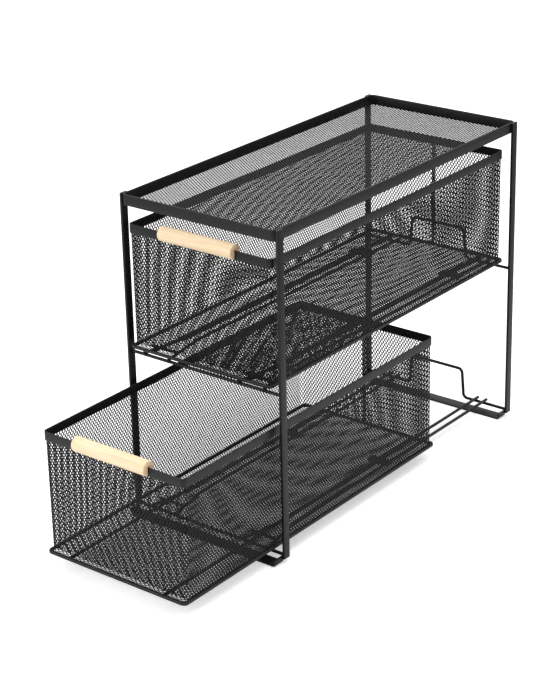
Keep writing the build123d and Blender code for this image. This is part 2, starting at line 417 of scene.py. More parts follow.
def softened_ends(start, end, soft, steps):
    """Places along a bar with how far its section draws in at each, for ends with rounded edges."""
    angles = [QUARTER_TURN * step / steps for step in range(steps, -1, -1)]
    near = [(start + soft * (1 - math.sin(a)), soft * (1 - math.cos(a))) for a in angles]
    far = [(end - soft * (1 - math.sin(a)), soft * (1 - math.cos(a))) for a in reversed(angles)]
    return near + far


def sweep_mesh(stations, closed=False):
    """A closed mesh through rings of points, with its ends capped where it is open."""
    bm = bmesh.new()
    rings = [[bm.verts.new(p) for p in station] for station in stations]
    pairs = list(zip(rings, rings[1:]))
    if closed:
        pairs.append((rings[-1], rings[0]))
    for near, far in pairs:
        for i in range(len(near)):
            j = (i + 1) % len(near)
            bm.faces.new((near[i], near[j], far[j], far[i]))
    if not closed:
        bm.faces.new(reversed(rings[0]))
        bm.faces.new(rings[-1])
    bmesh.ops.recalc_face_normals(bm, faces=bm.faces)
    mesh = bpy.data.meshes.new("sweep")
    bm.to_mesh(mesh)
    bm.free()
    smooth_by_angle(mesh)
    return mesh


def strip_loop(node, width, edge_radius, corner_radius):
    """A loop of flat strip or bar where the CAD node is, with softened edges."""
    corner_steps = 14
    lowest, highest = low(node), high(node)
    half = (highest - lowest) / 2
    section = rounded_section(width, highest.z - lowest.z, edge_radius)
    stations = []
    for point, out in loop_places(half.x, half.y, corner_radius, middle(node), corner_steps):
        stations.append([(point.x - out.x * inset, point.y - out.y * inset, lowest.z + rise)
                         for inset, rise in section])
    return sweep_mesh(stations, closed=True)


def upright_block(node, end_edge, side_edge, side_steps=3):
    """A block where the CAD node is, with rounded edges at its ends and along its sides."""
    end_steps = 3
    lowest, highest = low(node), high(node)
    size = highest - lowest
    stations = []
    for height, inset in softened_ends(lowest.z, highest.z, end_edge, end_steps):
        section = rounded_section(size.x - 2 * inset, size.y - 2 * inset, side_edge, side_steps)
        stations.append([(lowest.x + inset + x, lowest.y + inset + y, height) for x, y in section])
    return sweep_mesh(stations)


# Node trees that make geometry

def geometry_tree(name, defaults):
    """A Geometry Nodes tree with a geometry in and out and these inputs."""
    tree = bpy.data.node_groups.new(name, "GeometryNodeTree")
    for way in ("INPUT", "OUTPUT"):
        tree.interface.new_socket("Geometry", in_out=way, socket_type="NodeSocketGeometry")
    return tree, add_inputs(tree, defaults)


def end_tree(tree, geometry, material):
    """Ends a tree in Realize Instances and Set Material."""
    real = new_node(tree, "GeometryNodeRealizeInstances", {"Geometry": geometry})
    painted = new_node(tree, "GeometryNodeSetMaterial", {"Geometry": real.outputs[0], "Material": material})
    new_node(tree, "NodeGroupOutput", {"Geometry": painted.outputs[0]})
    return tree


def joined(tree, *geometries):
    """Several geometries as one."""
    node = tree.nodes.new("GeometryNodeJoinGeometry")
    for geometry in geometries:
        tree.links.new(geometry, node.inputs[0])
    return node.outputs[0]


def merged(tree, geometry, distance):
    """A geometry whose points closer than a distance are one."""
    return new_node(tree, "GeometryNodeMergeByDistance", {
        "Geometry": geometry, "Distance": distance}).outputs[0]


def moved(tree, geometry, **where):
    """A geometry with its points at a Position or moved by an Offset."""
    return new_node(tree, "GeometryNodeSetPosition", {"Geometry": geometry, **where}).outputs[0]


def without(tree, geometry, faces):
    """A geometry without some of its faces."""
    return new_node(tree, "GeometryNodeDeleteGeometry", {
        "Geometry": geometry, "Selection": faces}, domain="FACE", mode="ALL").outputs[0]


def repeated(tree, points, shape, scale):
    """A shape at each point, all as one geometry."""
    copies = new_node(tree, "GeometryNodeInstanceOnPoints", {
        "Points": points, "Instance": shape, "Scale": scale}).outputs[0]
    return new_node(tree, "GeometryNodeRealizeInstances", {"Geometry": copies}).outputs[0]


def scaled(tree, vector, factor):
    """A vector times a number."""
    return new_node(tree, "ShaderNodeVectorMath", {"Vector": vector, "Scale": factor},
                    operation="SCALE").outputs[0]


# Round wire

def round_wire(name):
    """Round wire along an edge chain, with softened ends."""
    tree, given = geometry_tree(name, {
        "Radius": 0.0014, "End Rounding": 0.0006, "Sides": 24, "Material": None})
    curve = new_node(tree, "GeometryNodeMeshToCurve", {"Mesh": given["Geometry"]}).outputs[0]
    along = Field(tree, tree.nodes.new("GeometryNodeSplineParameter").outputs["Length"])
    whole = Field(tree, tree.nodes.new("GeometryNodeSplineLength").outputs["Length"])
    from_end = along.least(whole - along) / given["End Rounding"]
    short = 1.0 - from_end.least(1.0)
    draw_in = (1.0 - (1.0 - short * short).most(0.0).math("SQRT")) * given["End Rounding"]
    narrowed = (given["Radius"] - draw_in) / given["Radius"]
    profile = new_node(tree, "GeometryNodeCurvePrimitiveCircle",
                       {"Radius": given["Radius"], "Resolution": given["Sides"]}).outputs["Curve"]
    swept = new_node(tree, "GeometryNodeCurveToMesh", {
        "Curve": curve, "Profile Curve": profile, "Scale": narrowed, "Fill Caps": True})
    return end_tree(tree, swept.outputs[0], given["Material"])


def rounded_path(corners, radius, end_round, steps=10):
    """Points along a path of straight runs with rounded corners, closer together at its ends."""
    corners = [Vector(c) for c in corners]
    points = [corners[0]]
    for before, here, after in zip(corners, corners[1:], corners[2:]):
        back = (before - here).normalized()
        ahead = (after - here).normalized()
        half = math.acos(max(-1.0, min(1.0, back.dot(ahead)))) / 2
        reach = radius / math.tan(half)
        centre = here + (back + ahead).normalized() * (radius / math.sin(half))
        start = here + back * reach - centre
        end = here + ahead * reach - centre
        whole = start.angle(end)
        for step in range(steps + 1):
            share = step / steps
            out = start * math.sin((1 - share) * whole) + end * math.sin(share * whole)
            points.append(centre + out / math.sin(whole))
    points.append(corners[-1])
    shares = (0.0, 0.1, 0.3, 0.6, 1.0)
    first = [points[0] + (points[1] - points[0]).normalized() * end_round * s for s in shares]
    last = [points[-1] + (points[-2] - points[-1]).normalized() * end_round * s for s in reversed(shares)]
    return first + points[1:-1] + last


def wire_mesh(corners, radius, bend_radius):
    """A piece of round wire along a path with rounded corners."""
    wires = bpy.context.scene.organizer_wires
    path = bpy.data.meshes.new("path")
    points = rounded_path(corners, bend_radius, wires.end_rounding)
    path.from_pydata(points, [(i, i + 1) for i in range(len(points) - 1)], [])
    return grown(path, "Round wire", {
        "Radius": radius, "End Rounding": wires.end_rounding, "Sides": wires.sides,
        "Material": finish_of("wire_steel")}, sharp=50)


# Expanded mesh

def cell_grid(tree, cell_x, cell_y, columns, rows):
    """The corners of a flat grid of cells about the origin."""
    return new_node(tree, "GeometryNodeMeshGrid", {
        "Size X": cell_x * columns, "Size Y": cell_y * rows,
        "Vertices X": columns + 1, "Vertices Y": rows + 1}).outputs["Mesh"]


def expanded_mesh(name):
    """Expanded steel mesh in a panel that can turn a rounded corner at each end and draw in.

    A panel lies flat first, with X along it, Y up it and Z outwards. Its diamonds stand on
    two interlaced grids. Each is inset to a hole, and the sheet between the holes gets a
    louvre's tilt and a thickness. The panel is then wrapped: X runs round the corner arcs
    past the straight length, and the wall leans in towards its foot.
    """
    tree, given = geometry_tree(name, {
        "Straight Length": 0.1, "Height": 0.1, "Corner Radius": 0.005, "Batter": 0.0, "Columns": 10,
        "Rows": 10, "Edge Columns": 1, "Climb": 0.0, "Flat Edge": 1.0, "Strand Width": 0.0006,
        "Thickness": 0.0004, "Tilt": 0.0001, "Drift": 0.0008, "Seed": 0.0, "Material": None})
    place = tree.nodes.new("GeometryNodeInputPosition").outputs[0]
    x, y, z = split(tree, place)
    half_straight = given["Straight Length"] / 2
    half_height = given["Height"] / 2
    radius = given["Corner Radius"]
    whole_length = given["Straight Length"] + radius * QUARTER_TURN
    columns, rows = given["Columns"], given["Rows"]
    cell_x = whole_length / columns
    cell_y = given["Height"] / rows

    # A diamond stands on each corner of two grids, with spare rows above and below. Those on a
    # mitre belong to one of its two panels: Edge Columns is 1 there, and 0 in its neighbour
    spare_rows = 4
    outer_columns = columns - 2 + 2 * given["Edge Columns"]
    centres = joined(tree, cell_grid(tree, cell_x, cell_y, outer_columns, rows + spare_rows),
                     cell_grid(tree, cell_x, cell_y, columns - 1, rows + spare_rows - 1))
    diamond = new_node(tree, "GeometryNodeMeshCircle", {"Vertices": 4, "Radius": 1.0}, fill_type="NGON")
    sheet = repeated(tree, centres, diamond.outputs[0], join(tree, cell_x / 2, cell_y / 2, 1.0))

    # A net is never cut quite square: its rows climb by Climb cells along the panel. The
    # spare rows make up for that, and what lies outside goes
    outside_cells = 0.42
    rise = given["Climb"] * cell_y / whole_length
    climbed = moved(tree, sheet, Offset=join(tree, y=x * rise))
    outside = (abs(y) - half_height).math("GREATER_THAN", cell_y * outside_cells)
    sheet = without(tree, climbed, outside)

    # The outer diamonds end at the panel's edges: always above and below, and where it is
    # flat at its two ends too
    weld_distance = 0.00005
    reach = half_straight * given["Flat Edge"] + (1.0 - given["Flat Edge"])
    up = y.within(half_height) + half_height
    sheet = merged(tree, moved(tree, sheet, Position=join(tree, x.within(reach), up, z)), weld_distance)

    # Each diamond's middle shrinks to a hole, and half a strand is left along each side
    side_distance = cell_x * cell_y / ((cell_x * cell_x + cell_y * cell_y).math("SQRT") * 2)
    open_share = 1.0 - given["Strand Width"] / (side_distance * 2)
    inset = new_node(tree, "GeometryNodeExtrudeMesh", {
        "Mesh": sheet, "Offset Scale": 0.0, "Individual": True}, mode="FACES")
    holes = inset.outputs["Top"]
    shrunk = new_node(tree, "GeometryNodeScaleElements", {
        "Geometry": inset.outputs["Mesh"], "Selection": holes, "Scale": open_share}, domain="FACE")
    pierced = without(tree, shrunk.outputs[0], holes)

    # Each strand turns a little, as the slit and stretched sheet's strands do
    waves_per_cell = 2
    wave = ((y - x * rise) / cell_y * (2 * math.pi * waves_per_cell)).math("SINE")
    turned = moved(tree, pierced, Offset=join(tree, z=wave * given["Tilt"] * -1))

    # Thickness: a turned copy stands behind the sheet, with walls round the holes
    shell_distance = 0.000002
    raised = new_node(tree, "GeometryNodeExtrudeMesh", {
        "Mesh": turned, "Offset": join(tree, z=-1.0), "Offset Scale": given["Thickness"],
        "Individual": False}, mode="FACES")
    back = new_node(tree, "GeometryNodeFlipFaces", {"Mesh": raised.outputs["Mesh"]}).outputs[0]
    solid = merged(tree, joined(tree, back, turned), shell_distance)

    # Stretching isn't even: the cells drift over a hand's breadth and the sheet waves a
    # little, but not where it meets a neighbour or a border
    side_calm, border_calm = 0.02, 0.012
    waves_per_metre_and_share = ((16.0, 2.0), (130.0, 0.05))
    outward_share = 0.4
    from_side = (half_straight + radius * (QUARTER_TURN / 2) - abs(x)) / side_calm
    from_border = y.least(given["Height"] - y) / border_calm
    loose = from_side.least(from_border).share() * given["Drift"]
    shift = join(tree)
    for scale, share in waves_per_metre_and_share:
        swell = new_node(tree, "ShaderNodeTexNoise", {
            "Vector": place, "W": given["Seed"], "Scale": scale, "Detail": 0.0}, noise_dimensions="4D")
        across, along, out = ((part - 0.5) * loose * share for part in split(tree, swell.outputs["Color"]))
        push = join(tree, across, along, out * outward_share)
        shift = new_node(tree, "ShaderNodeVectorMath", {0: shift, 1: push}, operation="ADD").outputs[0]
    solid = moved(tree, solid, Offset=shift)

    # The panel turns round its corners and leans in towards its foot
    lean = given["Batter"] * (1.0 - y / given["Height"])
    angle = (abs(x) - half_straight).most(0.0) / radius
    straight = abs(x).least(half_straight) * (half_straight - lean) / half_straight
    wrapped_x = x.math("SIGN") * (straight + (radius + z) * angle.math("SINE"))
    wrapped_z = (radius + z) * angle.math("COSINE") - radius - lean
    wrapped = moved(tree, solid, Position=join(tree, wrapped_x, y, wrapped_z))
    return end_tree(tree, wrapped, given["Material"])


# A corner radius of a flat panel: as good as none, and still no division by zero
FLAT = 1e-5


def net_panel(foot, outwards, length, height, columns, rows, corner=FLAT, **changes):
    """A panel of expanded mesh. The foot is that of its outer face, at its middle."""
    net = bpy.context.scene.organizer_net
    values = {
        "Straight Length": length, "Height": height, "Corner Radius": corner, "Batter": 0.0,
        "Columns": columns, "Rows": rows, "Edge Columns": 1, "Climb": 0, "Flat Edge": float(corner == FLAT),
        "Strand Width": net.strand_width, "Thickness": net.thickness, "Tilt": net.tilt,
        "Drift": net.drift, "Seed": 0.0, "Material": finish_of("mesh_steel")}
    mesh = grown(bpy.data.meshes.new("empty"), "Expanded mesh", values | changes)
    out = Vector(outwards)
    up = Vector((0, 1, 0)) if out.z else Vector((0, 0, 1))
    turn = Matrix((up.cross(out), up, out)).transposed().to_4x4()
    mesh.transform(Matrix.Translation(foot) @ turn)
    return mesh


def whole_cells(length, cell):
    """How many cells fit a length best, at least two."""
    return max(2, round(length / cell))


# Weld beads

def weld_beads(name):
    """A small uneven bead of weld at each point."""
    tree, given = geometry_tree(name, {"Size": 0.001, "Unevenness": 0.0003, "Seed": 3, "Material": None})
    lumps_per_metre = 900.0
    bead = new_node(tree, "GeometryNodeMeshIcoSphere", {"Radius": 1.0, "Subdivisions": 3}).outputs[0]
    wide = new_node(tree, "FunctionNodeRandomValue", {
        "Min": (0.8, 0.8, 0.8), "Max": (1.2, 1.2, 1.2), "Seed": given["Seed"]}, data_type="FLOAT_VECTOR")
    size = scaled(tree, wide.outputs["Value"], given["Size"])
    beads = repeated(tree, given["Geometry"], bead, size)
    place = tree.nodes.new("GeometryNodeInputPosition").outputs[0]
    normal = tree.nodes.new("GeometryNodeInputNormal").outputs[0]
    lump = (noise(tree, place, lumps_per_metre, 2.0) - 0.5) * given["Unevenness"] * 2
    return end_tree(tree, moved(tree, beads, Offset=scaled(tree, normal, lump)), given["Material"])


def bead_mesh(places):
    """Weld beads at these places."""
    size = bpy.context.scene.organizer_wires.bead
    unevenness = 0.35
    points = bpy.data.meshes.new("points")
    points.from_pydata(places, [], [])
    return grown(points, "Weld beads", {
        "Size": size, "Unevenness": size * unevenness, "Seed": 3, "Material": finish_of("wire_steel")},
        sharp=60)


TREES = {
    "Powder coat": powder_coat,
    "Wood grain": wood_grain,
    "Round wire": round_wire,
    "Expanded mesh": expanded_mesh,
    "Weld beads": weld_beads,
}


# Settings

def length(name, description, default):
    """A length that shows in the panel."""
    return bpy.props.FloatProperty(name=name, description=description, default=default, min=0.0,
                                   precision=5, unit="LENGTH")


def colour(name, description, default):
    """A colour that shows in the panel."""
    return bpy.props.FloatVectorProperty(name=name, description=description, default=default,
                                         subtype="COLOR", size=3, min=0.0, max=1.0)


class OrganizerStrips(bpy.types.PropertyGroup):
    """The flat strip and bar of the frame and the drawers."""

    foot_thickness: length("Foot thickness", "Thickness of a foot's strip", 0.002)
    foot_bend: length("Foot bend", "Outer radius of a foot's bends", 0.0035)
    tray_thickness: length("Tray rim thickness", "Thickness of the tray rim's strip", 0.0015)
    rim_thickness: length("Drawer rim thickness", "Thickness of a drawer rim's strip", 0.001)
    hem_width: length("Hem width", "Width of a drawer's hem bar", 0.003)
    tray_corner: length("Tray corner", "Corner radius of the tray's rim", 0.005)
    rim_corner: length("Drawer corner", "Corner radius of a drawer's rim", 0.0045)
    hem_corner: length("Hem corner", "Corner radius of a drawer's hem", 0.0055)
    edge_radius: length("Edge radius", "How far the strips' edges are rounded", 0.00035)
    hem_edge_radius: length("Hem edge radius", "How far the hem bars' edges are rounded", 0.00084)


class OrganizerWires(bpy.types.PropertyGroup):
    """The round wire of rods, hoops, rails, bridges and runners."""

    coat: length("Coat", "Paint on the frame's wires", 0.00015)
    end_rounding: length("End rounding", "How far the cut ends are rounded", 0.0005)
    rail_overhang: length("Rail overhang", "How far the rails reach past the front rod", 0.004)
    rail_flare_length: length("Flare length", "Length over which the rails part", 0.054)
    rail_bend: length("Rail bend", "Bend radius where the rails part", 0.06)
    hoop_bend: length("Hoop bend", "Bend radius of the hoop", 0.005)
    hoop_half_foot: length("Hoop half width", "Half width of the hoop at its foot", 0.0345)
    hoop_lean: length("Hoop lean", "How far each side of the hoop leans in", 0.0025)
    bead: length("Weld bead", "Radius of a weld bead", 0.0011)
    sides: bpy.props.IntProperty(name="Sides", description="Facets round a wire", default=24, min=8)


class OrganizerNet(bpy.types.PropertyGroup):
    """The expanded steel mesh."""

    cell_short: length("Short way", "A diamond's short diagonal", 0.00335)
    cell_long: length("Long way", "A diamond's long diagonal", 0.00518)
    strand_width: length("Strand", "Width of a strand", 0.00086)
    thickness: length("Thickness", "Thickness of the sheet", 0.0004)
    tilt: length("Tilt", "How far a strand's edges turn out of the sheet", 0.0001)
    drift: length("Drift", "How far the cells drift from an even grid", 0.0008)
    corner_radius: length("Corner radius", "Radius of the mesh at a drawer's corners", 0.00345)
    batter: length("Batter", "How far the walls draw in at their foot", 0.0002)
    floor_margin: length("Floor margin", "From the floor's outline in the CAD to its net", 0.0012)


class OrganizerDrawerParts(bpy.types.PropertyGroup):
    """The plastic glides and the grooved wooden dowels."""

    glide_end_edge: length("Glide end edge", "Rounding above and below a glide", 0.0006)
    glide_side_edge: length("Glide side edge", "Rounding of a glide's upright edges", 0.0012)
    dowel_end_radius: length("Dowel end radius", "Rounding of a dowel's ends", 0.0014)
    groove_width: length("Groove width", "Width of the groove over the rim", 0.00245)
    groove_roof: length("Groove roof", "Top of the groove above the dowel's middle", 0.0018)
    groove_edge: length("Groove edge", "Bevel of the groove's edges", 0.0002)


class OrganizerColours(bpy.types.PropertyGroup):
    """Colours of the finishes."""

    strip: colour("Strip", "Paint on the strips", (0.006, 0.0058, 0.0056))
    wire: colour("Wire", "Paint on the wires", (0.004, 0.004, 0.004))
    net: colour("Net", "Paint on the mesh", (0.005, 0.005, 0.005))
    plastic: colour("Plastic", "Glides", (0.012, 0.012, 0.013))
    wood_light: colour("Light wood", "Early wood", (0.95, 0.77, 0.53))
    wood_dark: colour("Dark wood", "Late wood and pores", (0.80, 0.55, 0.32))
    floor: colour("Floor", "The floor under the organizer", (0.95, 0.95, 0.95))
    dust: bpy.props.FloatProperty(name="Dust", description="Pale dust on what faces up", default=0.02,
                                  min=0.0, max=1.0, subtype="FACTOR")


# Operators

class ORGANIZER_OT_feet(bpy.types.Operator):
    """Make the two feet, each a U of flat strip"""

    bl_idname = "organizer.feet"
    bl_label = "Feet"

    def execute(self, context):
        strips = context.scene.organizer_strips
        bend, bend_steps = strips.foot_bend, 12
        for end in ENDS:
            node = f"{end}_foot"
            lowest, highest = low(node), high(node)
            half = highest.x
            section = rounded_section(strips.foot_thickness, highest.y - lowest.y, strips.edge_radius)
            places = [(Vector((-half, highest.z)), Vector((-1, 0)))]
            places += arc((-half + bend, lowest.z + bend), bend, math.pi, QUARTER_TURN, bend_steps)
            places += arc((half - bend, lowest.z + bend), bend, 1.5 * math.pi, QUARTER_TURN, bend_steps)
            places.append((Vector((half, highest.z)), Vector((1, 0))))
            stations = [[(p.x - out.x * inset, lowest.y + rise, p.y - out.y * inset)
                         for inset, rise in section] for p, out in places]
            place_piece(sweep_mesh(stations), f"{node}_strip", "frame", "frame_steel", node)
        return {"FINISHED"}


class ORGANIZER_OT_legs(bpy.types.Operator):
    """Make the four legs of flat bar"""

    bl_idname = "organizer.legs"
    bl_label = "Legs"

    def execute(self, context):
        edge = context.scene.organizer_strips.edge_radius
        for end in ENDS:
            for side in SIDES:
                node = f"{end}_{side}_leg"
                place_piece(upright_block(node, edge, edge), f"{node}_bar", "frame", "frame_steel", node)
        return {"FINISHED"}


class ORGANIZER_OT_rims(bpy.types.Operator):
    """Make the tray's rim, the drawers' rims and their hems"""

    bl_idname = "organizer.rims"
    bl_label = "Rims and hems"

    def execute(self, context):
        strips = context.scene.organizer_strips
        tray = (strips.tray_thickness, strips.edge_radius, strips.tray_corner)
        rim = (strips.rim_thickness, strips.edge_radius, strips.rim_corner)
        hem = (strips.hem_width, strips.hem_edge_radius, strips.hem_corner)
        loops = [("tray_rim", "frame", "frame_steel", tray)]
        for tier in TIERS:
            drawer = f"{tier}_drawer"
            loops.append((f"{drawer}_rim", drawer, "rim_steel", rim))
            loops.append((f"{drawer}_hem", drawer, "rim_steel", hem))
        for node, body, slot, sizes in loops:
            place_piece(strip_loop(node, *sizes), f"{node}_loop", body, slot, node)
        return {"FINISHED"}


class ORGANIZER_OT_wires(bpy.types.Operator):
    """Make the rods, hoops, rails, bridges and runners of round wire"""

    bl_idname = "organizer.wires"
    bl_label = "Wires"

    def execute(self, context):
        for tier in TIERS:
            radius = wire_radius(tier)
            self.straight(f"{tier}_front_rod", X, radius, "frame")
            self.hoop(f"{tier}_rear_rod", radius)
            front_y = middle(f"{tier}_front_rod").y
            for side, sign in SIDES.items():
                for place in ("inner", "outer"):
                    self.rail(f"{tier}_{side}_{place}_rail", sign, front_y, radius)
                self.straight(f"{tier}_{side}_bridge", X, radius, "frame")
                self.straight(f"{tier}_drawer_{side}_runner", Y, radius, f"{tier}_drawer")
        return {"FINISHED"}

    def straight(self, node, axis, radius, body):
        """A straight wire along X or Y."""
        start, end = middle(node), middle(node)
        start[axis], end[axis] = low(node)[axis], high(node)[axis]
        self.wire(node, (start, end), radius, radius, body)

    def hoop(self, node, radius):
        """A rear rod with the hoop that stops the drawer."""
        wires = bpy.context.scene.organizer_wires
        lowest, highest = low(node), high(node)
        y = middle(node).y
        foot, top = lowest.z + radius, highest.z - radius
        half_foot = wires.hoop_half_foot
        half_top = half_foot - wires.hoop_lean
        corners = ((lowest.x, y, foot), (-half_foot, y, foot), (-half_top, y, top),
                   (half_top, y, top), (half_foot, y, foot), (highest.x, y, foot))
        self.wire(node, corners, radius, wires.hoop_bend, "frame")

    def rail(self, node, sign, front_y, radius):
        """One wire of a rail pair. The two part towards the front rod."""
        wires = bpy.context.scene.organizer_wires
        z = middle(node).z
        front_x, straight_x = (sign * offset for offset in rail_offsets(node, radius))
        start_y = front_y - wires.rail_overhang
        corners = ((front_x, start_y, z), (straight_x, start_y + wires.rail_flare_length, z),
                   (straight_x, high(node).y, z))
        self.wire(node, corners, radius, wires.rail_bend, "frame")

    def wire(self, node, corners, radius, bend_radius, body):
        """A wire in a CAD node's place. A coat would close the gap between bridges and runners."""
        coat = 0 if node.endswith(("bridge", "runner")) else bpy.context.scene.organizer_wires.coat
        mesh = wire_mesh(corners, radius + coat, bend_radius)
        place_piece(mesh, f"{node}_wire", body, "wire_steel", node)


class ORGANIZER_OT_welds(bpy.types.Operator):
    """Make the weld beads where wires and bars meet"""

    bl_idname = "organizer.welds"
    bl_label = "Weld beads"

    def execute(self, context):
        places = []
        for tier in TIERS:
            radius = wire_radius(tier)
            for end in ENDS:
                places += self.rod_places(tier, end, radius)
            places += self.bridge_places(tier)
        place_piece(bead_mesh(places), "frame_weld_beads", "frame", "wire_steel")
        for tier in TIERS:
            drawer = f"{tier}_drawer"
            place_piece(bead_mesh(self.runner_places(drawer)), f"{drawer}_weld_beads", drawer, "wire_steel")
        return {"FINISHED"}

    def rod_places(self, tier, end, radius):
        """Two beads at each leg that a rod meets, and one at each rail on it."""
        off_leg, off_axis = 0.0006, 0.0012
        flare_share_at_rod = 0.07
        rod = f"{tier}_{end}_rod"
        y, z = middle(rod).y, low(rod).z + radius
        places = []
        for side, sign in SIDES.items():
            leg = f"{end}_{side}_leg"
            inner_face = high(leg).x if sign < 0 else low(leg).x
            places += [(inner_face - sign * off_leg, y, z + rise) for rise in (off_axis, -off_axis)]
        for side, sign in SIDES.items():
            for place in ("inner", "outer"):
                front_x, straight_x = rail_offsets(f"{tier}_{side}_{place}_rail", radius)
                x = straight_x if end == "rear" else front_x + (straight_x - front_x) * flare_share_at_rod
                places.append((sign * x, y, z + radius))
        return places

    def bridge_places(self, tier):
        """A bead on each rail that a bridge crosses."""
        end_to_rail = 0.0033
        places = []
        for side in SIDES:
            bridge = f"{tier}_{side}_bridge"
            lowest, highest = low(bridge), high(bridge)
            places += [(x, middle(bridge).y, lowest.z)
                       for x in (lowest.x + end_to_rail, highest.x - end_to_rail)]
        return places

    def runner_places(self, drawer):
        """A bead at each end of a drawer's runners."""
        past_end = 0.0002
        places = []
        for side in SIDES:
            runner = f"{drawer}_{side}_runner"
            at = middle(runner)
            places += [(at.x, y, at.z) for y in (low(runner).y - past_end, high(runner).y + past_end)]
        return places


class ORGANIZER_OT_nets(bpy.types.Operator):
    """Make the expanded mesh of the tray and the drawers"""

    bl_idname = "organizer.nets"
    bl_label = "Nets"

    def execute(self, context):
        seeds_per_drawer = 5
        self.flat("tray_mesh", "frame", 0.0)
        for number, tier in enumerate(TIERS):
            drawer = f"{tier}_drawer"
            self.flat(f"{drawer}_floor_mesh", drawer, context.scene.organizer_net.floor_margin)
            self.walls(drawer, seeds_per_drawer * number)
        return {"FINISHED"}

    def flat(self, node, body, margin):
        """A flat sheet in the CAD node's place, with the diamonds' long way across it."""
        net = bpy.context.scene.organizer_net
        seeds_per_metre = 20
        lowest, highest = low(node), high(node)
        width = highest.x - lowest.x - 2 * margin
        depth = highest.y - lowest.y - 2 * margin
        foot = (middle(node).x, lowest.y + margin, highest.z)
        mesh = net_panel(foot, (0, 0, 1), width, depth, whole_cells(width, net.cell_long),
                         whole_cells(depth, net.cell_short), Seed=lowest.z * seeds_per_metre)
        place_piece(mesh, f"{node}_net", body, "mesh_steel", node)

    def walls(self, drawer, first_seed):
        """A drawer's four walls, mitred at the corners, and the lap at the middle of the rear."""
        net = bpy.context.scene.organizer_net
        radius = net.corner_radius
        left, right = low(f"{drawer}_left_mesh").x, high(f"{drawer}_right_mesh").x
        front, back = low(f"{drawer}_front_mesh").y, high(f"{drawer}_back_mesh").y
        foot = low(f"{drawer}_left_mesh").z
        height = high(f"{drawer}_left_mesh").z - foot
        rows = whole_cells(height, net.cell_long)
        centre_y = (front + back) / 2
        end_straight = right - left - 2 * radius
        side_straight = back - front - 2 * radius
        # An odd climb for each, so that the cells meet at the corners
        walls = (("front", end_straight, 0, -1, (0, front, foot), (0, -1, 0)),
                 ("back", end_straight, 0, 1, (0, back, foot), (0, 1, 0)),
                 ("left", side_straight, 1, 3, (left, centre_y, foot), (-1, 0, 0)),
                 ("right", side_straight, 1, 1, (right, centre_y, foot), (1, 0, 0)))
        for number, (name, straight, edge_columns, climb, point, out) in enumerate(walls):
            columns = whole_cells(straight + QUARTER_TURN * radius, net.cell_short)
            changes = {"Batter": net.batter, "Edge Columns": edge_columns, "Climb": climb,
                       "Seed": number + first_seed}
            mesh = net_panel(point, out, straight, height, columns, rows, radius, **changes)
            node = f"{drawer}_{name}_mesh"
            place_piece(mesh, f"{node}_net", drawer, "mesh_steel", node)

        # The lap is three fine columns, just inside the rear wall's net
        lap_columns, lap_width = 3, 1.3 * net.cell_short
        lap_depth = 1.2 * net.thickness
        lap_strand = 0.8 * net.strand_width
        lap = net_panel((0, back - lap_depth, foot), (0, 1, 0), lap_width, height, lap_columns, 2 * rows,
                        **{"Batter": net.batter, "Strand Width": lap_strand})
        place_piece(lap, f"{drawer}_seam_lap", drawer, "mesh_steel")


class ORGANIZER_OT_glides(bpy.types.Operator):
    """Make the four glides under the runners"""

    bl_idname = "organizer.glides"
    bl_label = "Glides"

    def execute(self, context):
        parts = context.scene.organizer_drawer_parts
        for tier in TIERS:
            for side in SIDES:
                node = f"{tier}_drawer_{side}_glide"
                mesh = upright_block(node, parts.glide_end_edge, parts.glide_side_edge, side_steps=4)
                place_piece(mesh, f"{node}_block", f"{tier}_drawer", "glide_plastic", node)
        return {"FINISHED"}


